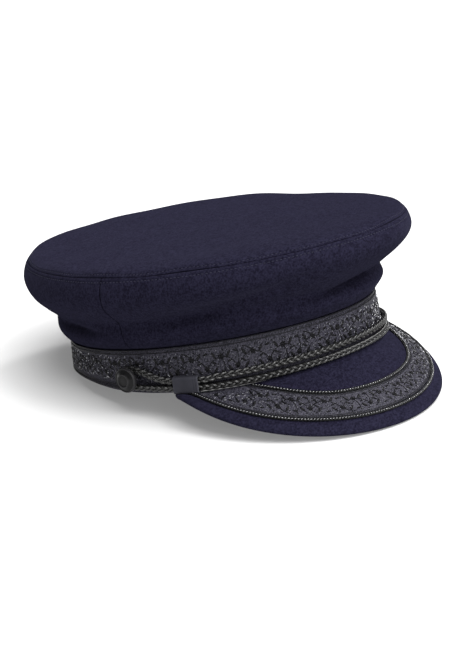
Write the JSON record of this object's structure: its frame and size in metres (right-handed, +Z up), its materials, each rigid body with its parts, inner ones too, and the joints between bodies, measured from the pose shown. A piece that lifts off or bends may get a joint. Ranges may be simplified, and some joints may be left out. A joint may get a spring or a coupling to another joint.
{
  "type": "sailor cap",
  "caption": "Soft wool peaked cap with a flat oval top, woven figured trim on the band and peak, and a plaited chin cord held by side buttons.",
  "frame": {"origin": "middle of the bottom of the cap's box, on the surface that it rests on", "axes": "+Z up, the peak towards -Y, the wearer's right towards -X"},
  "size_m": [0.2188, 0.2758, 0.1145],
  "materials": {
    "wool": "navy melton wool, brushed and matt",
    "trim": "figured woven ribbon, ribbed satin ground with glossy raised leaves",
    "braid": "plaited glossy black cord",
    "keeper": "smooth slate hide with a low sheen",
    "button": "dark, worn gloss"
  },
  "bodies": {
    "root": {"crown_tip": "wool", "side_crown_front": "wool", "side_crown_back": "wool", "headband": "wool", "band_trim": "trim", "peak": "wool", "peak_trim": "trim", "peak_braid_outer": "braid", "peak_braid_inner": "braid", "chin_cord": "braid", "keeper_right": "keeper", "keeper_left": "keeper", "button_right": "button", "button_left": "button"}
  },
  "joints": []
}
